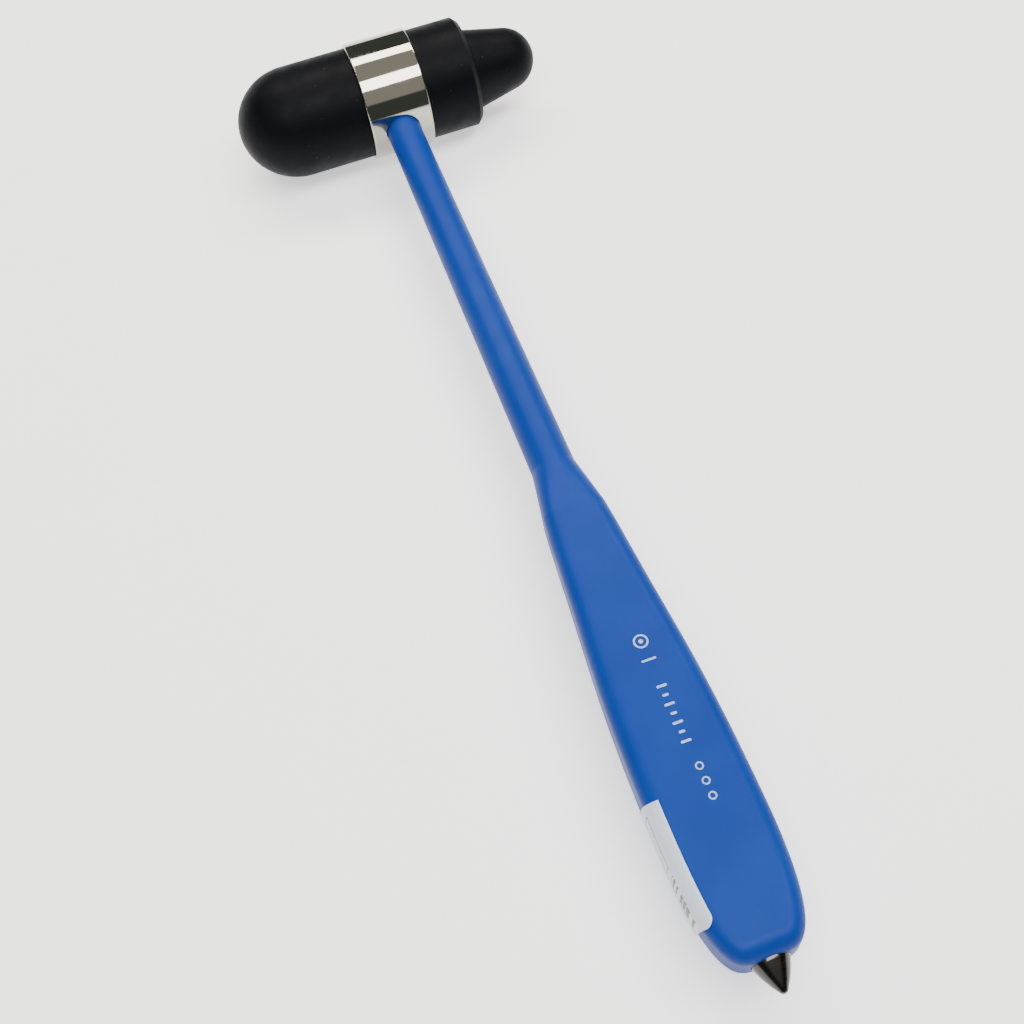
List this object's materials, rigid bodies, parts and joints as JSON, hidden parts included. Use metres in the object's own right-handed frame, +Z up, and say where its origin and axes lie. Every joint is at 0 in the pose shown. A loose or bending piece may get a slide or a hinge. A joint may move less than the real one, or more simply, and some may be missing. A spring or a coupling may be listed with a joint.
{
  "type": "reflex hammer",
  "caption": "Neurological reflex hammer: black rubber striking head with a domed and a stepped end, polished collar, blue moulded shaft and flat grip, screw-in needle tip.",
  "frame": {"origin": "centre of the bounding box in X and Y, on the surface that the head rests on; it lies under the shaft's axis", "axes": "+X along the head towards the small stepped end, +Y along the shaft towards the head with the needle tip at -Y, +Z up, square to the grip's broad faces"},
  "size_m": [0.0768, 0.2454, 0.0285],
  "materials": {
    "handle_plastic": "soft-touch matte, fine grain",
    "collar_chrome": "polished nickel",
    "core_steel": "turned, bright",
    "head_rubber": "matte moulded rubber",
    "insert_brass": "turned",
    "tip_steel": "dark nickel plate, turned",
    "needle_steel": "bright drawn",
    "label_paper": "satin coated paper"
  },
  "bodies": {
    "hammer": {"handle": "handle_plastic", "head_collar": "collar_chrome", "head_core": "core_steel", "shaft_rod": "core_steel", "lock_screw": "core_steel", "thread_insert": "insert_brass", "label": "label_paper"},
    "large_end": {"large_rubber_head": "head_rubber"},
    "small_end": {"small_rubber_head": "head_rubber"},
    "needle_carrier": {"needle": "needle_steel"},
    "tip": {"needle_tip": "tip_steel"}
  },
  "joints": [
    {"name": "large_end_pull", "type": "slide", "parent": "hammer", "child": "large_end", "axis": [-1, 0, 0], "range_m": [0, 0.013]},
    {"name": "small_end_pull", "type": "slide", "parent": "hammer", "child": "small_end", "axis": [1, 0, 0], "range_m": [0, 0.013]},
    {"name": "needle_travel", "type": "slide", "parent": "hammer", "child": "needle_carrier", "axis": [0, -1, 0], "range_m": [0, 0.032]},
    {"name": "tip_turn", "type": "hinge", "parent": "needle_carrier", "child": "tip", "pos_m": [0, -0.1195, 0.01425], "axis": [0, -1, 0], "range_deg": [0, 14420]}
  ],
  "couplings": [
    {"joint": "tip_turn", "follows": "needle_travel", "rad_per_m": 7854}
  ]
}
